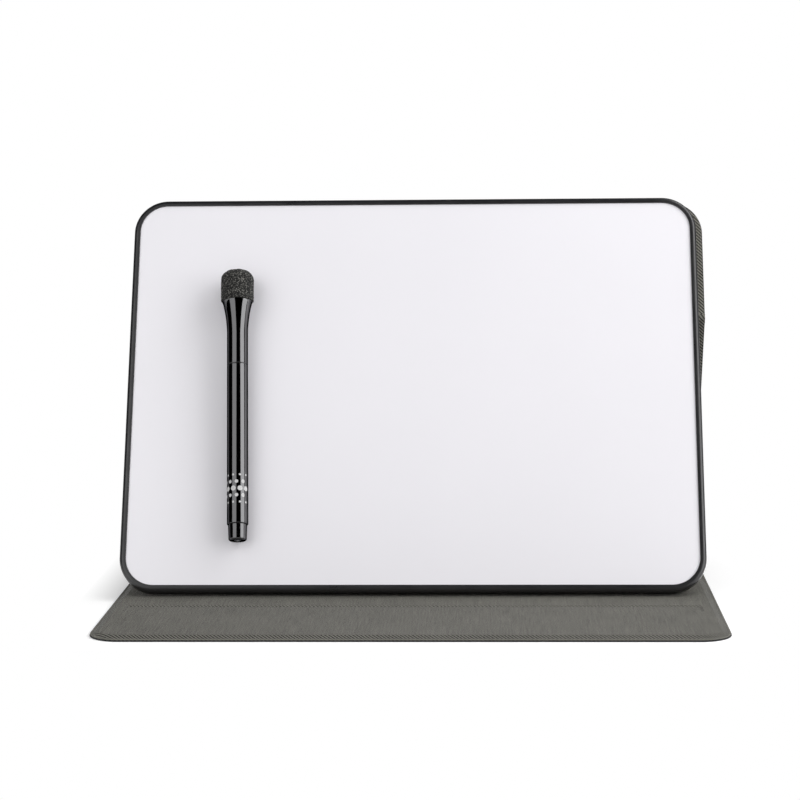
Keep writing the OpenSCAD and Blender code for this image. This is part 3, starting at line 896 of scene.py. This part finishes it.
class EASEL_OT_rim(Operator):
    """Moulded rim round the board, a channel with a round bead at its front"""
    bl_idname = "easel.rim"
    bl_label = "Rim"

    def execute(self, context):
        _, board, _ = sizes()
        at, _, _ = places()
        centre = Vector((0, board.height / 2, 0))
        rim = outline("board_rim", board.width, 0, board.height, 0, board.corner, board.corner)
        pick_faces()
        inset(board.rim)
        bpy.ops.mesh.delete(type="FACE")
        pick_faces()
        extrude(0, 0, board.thickness)
        straighten()

        def faces_in(f):
            spot = mid(f)
            inward = centre - Vector((spot.x, spot.y, 0))
            return abs(f.normal.z) < UPRIGHT and f.normal.dot(inward) > 0

        def edge_at(e, z, inner):
            walls = [f for f in e.link_faces if abs(f.normal.z) < UPRIGHT]
            level = all(near(v.co.z, z) for v in e.verts)
            return level and bool(walls) and faces_in(walls[0]) == inner

        pick_faces(faces_in)
        inset(board.lip)
        bpy.ops.mesh.extrude_region_shrink_fatten(
            TRANSFORM_OT_shrink_fatten={"value": board.wall - board.rim, "use_even_offset": True})
        straighten()
        soften(board.bead, BEAD_STEPS, lambda e: edge_at(e, board.thickness, False))
        soften(board.back_edge, BACK_STEPS, lambda e: edge_at(e, 0, False))
        soften(LIP_ROUND, LIP_STEPS,
               lambda e: edge_at(e, board.thickness, True) or edge_at(e, 0, True))
        plastic = moulded("Rim plastic", context.scene.easel_colours.rim, 0.32,
                          Specular_IOR_Level=0.8)
        complete(rim, at["board"], "board", plastic, ["board_frame"])
        return {"FINISHED"}


def turned(name, stations, around=AROUND):
    """Turned piece, grown from its first station along its outline"""
    put_down()
    z, radius = stations[0]
    bpy.ops.mesh.primitive_circle_add(vertices=around, radius=radius, fill_type="NGON",
                                      location=(0, 0, z))
    piece = begin(name)
    pick_faces()
    for next_z, next_radius in stations[1:]:
        extrude(0, 0, next_z - z)
        ratio = next_radius / radius
        bpy.ops.transform.resize(value=(ratio, ratio, 1), center_override=(0, 0, next_z))
        z, radius = next_z, next_radius
    return piece


def arc(centre_z, centre_r, size, start, end, steps):
    """Stations along an arc; angles run from the axis direction outwards, in degrees"""
    turns = (radians(start + (end - start) * i / steps) for i in range(steps + 1))
    return [(centre_z + size * cos(a), centre_r + size * sin(a)) for a in turns]


class EASEL_OT_marker(Operator):
    """Barrel and end plug of the marker"""
    bl_idname = "easel.marker"
    bl_label = "Marker"

    def execute(self, context):
        _, _, marker = sizes()
        at, _, _ = places()
        tints = context.scene.easel_colours
        bore = marker.barrel - marker.wall
        base, top = marker.plug_length, marker.plug_length + marker.barrel_length
        stations = ([(base + SEEN_BORE, bore), (base, bore)]
                    + arc(base + END_ROUND, marker.barrel - END_ROUND, END_ROUND, 180, 90, 5)
                    + [(base + marker.barrel_length * i / 8, marker.barrel) for i in range(1, 8)]
                    + arc(top - END_ROUND, marker.barrel - END_ROUND, END_ROUND, 90, 0, 5)
                    + [(top, bore), (top - SEEN_BORE, bore)])
        barrel = turned("marker_tube", stations)
        black = lacquered("Barrel lacquer", tints.lacquer, 0.07)
        complete(barrel, at["marker"], "marker",
                 dotted(black, at["marker"], tints.print_white, marker.barrel), ["marker_barrel"])

        stations = (list(PLUG_DIMPLE)
                    + arc(PLUG_ROUND, marker.plug_end - PLUG_ROUND, PLUG_ROUND, 180, 90, 7)
                    + [(base - PLUG_EDGE, marker.plug),
                       (base - PLUG_CHAMFER, marker.plug - PLUG_CHAMFER),
                       (base, bore - PLUG_FIT), (base + PLUG_SEAT, bore - PLUG_FIT)])
        complete(turned("marker_end_plug", stations), at["marker"], "marker",
                 lacquered("Plug lacquer", tints.lacquer, 0.09), ["end_plug"])
        return {"FINISHED"}


class EASEL_OT_cap(Operator):
    """Cap with its flare, and the felt eraser on it"""
    bl_idname = "easel.cap"
    bl_label = "Cap and eraser"

    def execute(self, context):
        _, _, marker = sizes()
        at, _, _ = places()
        tints = context.scene.easel_colours
        growth = marker.top - marker.barrel
        sweep = (marker.flare ** 2 + growth ** 2) / (2 * growth)
        end = marker.skirt + marker.flare
        swell = [(marker.skirt + run, marker.barrel + sweep - sqrt(sweep ** 2 - run ** 2))
                 for run in (marker.flare * i / FLARE_STEPS for i in range(FLARE_STEPS))]
        stations = ([(marker.bore_length, marker.bore), (BORE_EDGE, marker.bore),
                     (0.0, marker.bore + BORE_LIP)]
                    + arc(END_ROUND, marker.barrel - END_ROUND, END_ROUND, 180, 90, 5) + swell
                    + arc(end - CAP_LIP, marker.top - CAP_LIP, CAP_LIP, 80, 0, 4)
                    + [(end, marker.magnet), (end - marker.magnet_depth, marker.magnet)])
        complete(turned("marker_cap_shell", stations), at["cap"], "cap",
                 lacquered("Cap lacquer", tints.lacquer, 0.07), ["marker_cap"])

        straight = marker.eraser_length - marker.eraser_round
        shoulder = marker.eraser - marker.eraser_round
        stations = ([(0.0, FELT_CENTRE), (0.0, marker.eraser - FELT_BORDER)]
                    + arc(FELT_FOOT, marker.eraser - FELT_FOOT, FELT_FOOT, 180, 90, 4)
                    + [(straight * i / FELT_ROWS, marker.eraser) for i in range(2, FELT_ROWS + 1)]
                    + arc(straight, shoulder, marker.eraser_round, 84, 0, 12)
                    + [(marker.eraser_length + FELT_CROWN, shoulder * share)
                       for share in (0.75, 0.5, 0.25, 0.05)])
        pad = turned("eraser_felt", stations, FELT_AROUND)
        bpy.ops.mesh.merge(type="CENTER")
        put_down()
        for grain, height in FLUFF:
            fluff = bpy.data.textures.new("Fluff", "CLOUDS")
            fluff.noise_scale = grain
            modify(pad, "DISPLACE", texture=fluff, strength=height, mid_level=0.62,
                   texture_coords="LOCAL")
        felt = fibrous("Eraser felt", tints.felt, tints.felt_fleck, 0.0007, 0.0007)
        complete(pad, at["eraser"], "cap", felt, ["eraser"], flat=False)
        return {"FINISHED"}


class EASEL_OT_inner_parts(Operator):
    """Finishes of the sheets, stiffeners, magnets and ink parts that stay as constructed"""
    bl_idname = "easel.inner_parts"
    bl_label = "Sheets and inner parts"

    def execute(self, context):
        tints = context.scene.easel_colours
        clothe(["writing_sheet"], coated_sheet("Dry-wipe coating", tints.face, 0.32))
        clothe(["rear_sheet"], coated_sheet("Back coating", (0.3, 0.3, 0.31), 0.45))
        for name, dark, light, fibre, depth, nodes in (
                ("Grey board", (0.33, 0.31, 0.28), (0.42, 0.4, 0.37), 0.0006, 0.00004,
                 ["front_stiffener", "middle_stiffener", "rear_stiffener", "spine_stiffener",
                  "leg_stiffener", "upper_stiffener", "core_panel"]),
                ("Magnet rubber", (0.035, 0.032, 0.031), (0.05, 0.047, 0.045), 0.0004, 0.00002,
                 ["low_angle_magnet_strip", "stop_magnet_strip"]),
                ("Foam tape", (0.02, 0.02, 0.021), (0.045, 0.045, 0.046), 0.0005, 0.00005,
                 ["mounting_tape"]),
                ("Inked nib", (0.012, 0.012, 0.014), (0.03, 0.03, 0.033), 0.0003, 0.00005,
                 ["marker_nib"]),
                ("Ink fibre", (0.5, 0.5, 0.5), (0.7, 0.7, 0.7), 0.0003, 0.00004,
                 ["ink_reservoir"])):
            clothe(nodes, fibrous(name, dark, light, fibre, depth))
        clothe(["foot_magnet_bars", "cap_magnet"], plated("Plated magnet", (0.56, 0.56, 0.58)))
        clothe(["nib_holder"], moulded("Holder plastic", tints.holder, 0.3))
        clothe(["cap_liner"], moulded("Liner plastic", (0.72, 0.72, 0.7), 0.4))
        return {"FINISHED"}


# Studio

CAMERA_PLACE = (0.0399, -1.1721, 0.2385)
CAMERA_TURN = (-2.3072, 6.6793, -0.4884)  # yaw, pitch and roll in degrees
CAMERA_LENS, CAMERA_SENSOR = 103.38, 36.0
LAMPS = (
    # name, place, aimed at, width, height, power in watts
    ("left_box", (-0.74, -0.89, 0.62), (-0.05, 0, 0.1), 0.95, 1.1, 4.9),
    ("right_box", (1.05, -0.42, 0.55), (-0.05, 0, 0.1), 0.95, 1.1, 9.5),
    ("top_box", (0.5, 0.05, 0.8), (0, 0, 0.0), 0.5, 0.4, 2.4),
)
WORLD_LIGHT, WHITE = 0.48, (1.0, 1.0, 1.0, 1.0)
FLOOR_RADIUS, FLOOR_DROP, FLOOR_COLOUR = 6.0, 0.00005, (0.97, 0.97, 0.97)
FLOOR_LIFT = 0.16  # own light of the floor where it is seen
FLOOR_HOLD = 0.45  # share of the soft light that it doesn't return
FOOTPRINT = (("X", 0.153), ("Y", 0.114))  # half sizes of the ground under the object
SHADOW_WIDTH = 0.02  # the floor is plain white beyond it


def camera_turn():
    yaw, pitch, roll = (radians(a) for a in CAMERA_TURN)
    ahead = Vector((sin(yaw) * cos(pitch), cos(yaw) * cos(pitch), -sin(pitch)))
    right = Vector((cos(yaw), -sin(yaw), 0.0))
    up = right.cross(ahead)
    level = Matrix((right * cos(roll) + up * sin(roll),
                    up * cos(roll) - right * sin(roll), -ahead)).transposed()
    return level.to_4x4()


def studio_floor():
    """Pale floor that keeps the shadow and turns plain white away from the object"""
    put_down()
    bpy.ops.mesh.primitive_circle_add(vertices=96, radius=FLOOR_RADIUS, fill_type="NGON",
                                      location=(0, 0, -FLOOR_DROP))
    floor = bpy.context.object
    floor.name = "floor"
    material, shader, coords = finish("Floor paper", Roughness=1.0, Specular_IOR_Level=0.0)
    path = source(shader.id_data, "LightPath")
    bounce = 1.0 - path["Is Diffuse Ray"] * FLOOR_HOLD
    grain = spread(noise(coords, 60.0, 2.0), 0.3, 0.7, 0.995, 1.0)
    tone(shader, FLOOR_COLOUR, bounce * grain)
    seen = larger(path["Is Camera Ray"], larger(path["Is Glossy Ray"], path["Is Transmission Ray"]))
    part = node("SeparateXYZ", {0: coords})
    beside, before = (larger(0.0, abs(part[axis]) - half) for axis, half in FOOTPRINT)
    away = maths("SQRT", beside * beside + before * before)
    far = spread(away, 0.0, SHADOW_WIDTH, 0.0, 1.0)
    white = source(shader.id_data, "Emission")
    lift = node("Emission", {"Strength": seen * FLOOR_LIFT})
    paper = node("AddShader", {0: Wire(shader.outputs[0]), 1: lift})
    feed(material.node_tree.nodes["Material Output"],
         Surface=node("MixShader", {0: seen * far, 1: paper, 2: white}))
    floor.data.materials.append(material)


def studio_world():
    """White where it is seen, soft and grey where it lights"""
    world = bpy.data.worlds.new("Studio")
    world.use_nodes = True
    tree = world.node_tree
    tree.nodes.clear()
    path = source(tree, "LightPath")
    way = node("SeparateXYZ", {0: source(tree, "TexCoord")["Generated"]})
    behind = spread(way["Y"], 0.7, 1.0, 0.0, 1.0)
    mirrored = larger(path["Is Glossy Ray"], path["Is Transmission Ray"]) * behind
    seen = larger(path["Is Camera Ray"], mirrored)
    lit = (1.0 - path["Is Glossy Ray"]) * WORLD_LIGHT
    soft = node("Background", {"Color": WHITE, "Strength": lit})
    white = source(tree, "Background")
    white.socket.node.inputs["Color"].default_value = WHITE
    feed(tree.nodes.new("ShaderNodeOutputWorld"),
         Surface=node("MixShader", {0: seen, 1: soft, 2: white}))
    bpy.context.scene.world = world


class EASEL_OT_studio(Operator):
    """Floor, lamps, world and camera"""
    bl_idname = "easel.studio"
    bl_label = "Studio"

    def execute(self, context):
        studio_floor()
        studio_world()
        for name, place, target, width, height, power in LAMPS:
            lamp = bpy.data.lights.new(name, "AREA")
            lamp.shape = "RECTANGLE"
            lamp.size, lamp.size_y, lamp.energy = width, height, power
            box = bpy.data.objects.new(name, lamp)
            context.scene.collection.objects.link(box)
            box.location = place
            aim = Vector(target) - Vector(place)
            box.rotation_euler = aim.to_track_quat("-Z", "Y").to_euler()
        lens = bpy.data.cameras.new("camera")
        lens.lens, lens.sensor_width, lens.sensor_fit = CAMERA_LENS, CAMERA_SENSOR, "HORIZONTAL"
        lens.clip_start, lens.clip_end = 0.05, 30.0
        camera = bpy.data.objects.new("camera", lens)
        context.scene.collection.objects.link(camera)
        camera.matrix_world = Matrix.Translation(CAMERA_PLACE) @ camera_turn()
        context.scene.camera = camera
        context.scene.view_settings.view_transform = "Standard"
        return {"FINISHED"}


class EASEL_PT_steps(Panel):
    """Lists the sizes and the steps that build the easel"""
    bl_label = "Desk whiteboard easel"
    bl_idname = "EASEL_PT_steps"
    bl_space_type = "VIEW_3D"
    bl_region_type = "UI"
    bl_category = "Easel"

    def draw(self, context):
        layout = self.layout
        for step in STEPS:
            layout.operator(step.bl_idname)
        for name in GROUPS:
            group = getattr(context.scene, name)
            box = layout.box()
            for field in group.bl_rna.properties:
                if field.identifier not in ("rna_type", "name"):
                    box.prop(group, field.identifier)


STEPS = (EASEL_OT_front_cover, EASEL_OT_leg, EASEL_OT_back_panel, EASEL_OT_creases, EASEL_OT_rim,
         EASEL_OT_marker, EASEL_OT_cap, EASEL_OT_inner_parts, EASEL_OT_studio)
GROUPS = {"easel_cover": CoverSizes, "easel_board": BoardSizes, "easel_marker": MarkerSizes,
          "easel_colours": Colours}


def register():
    for kind in (*GROUPS.values(), *STEPS, EASEL_PT_steps):
        bpy.utils.register_class(kind)
    for name, kind in GROUPS.items():
        setattr(bpy.types.Scene, name, PointerProperty(type=kind))


def unregister():
    for name in GROUPS:
        delattr(bpy.types.Scene, name)
    for kind in (EASEL_PT_steps, *reversed(STEPS), *reversed(list(GROUPS.values()))):
        bpy.utils.unregister_class(kind)


def main():
    register()
    put_down()
    bpy.ops.easel.front_cover()
    bpy.ops.easel.leg()
    bpy.ops.easel.back_panel()
    bpy.ops.easel.creases()
    bpy.ops.easel.rim()
    bpy.ops.easel.marker()
    bpy.ops.easel.cap()
    bpy.ops.easel.inner_parts()
    bpy.ops.easel.studio()


if __name__ == "__main__":
    main()
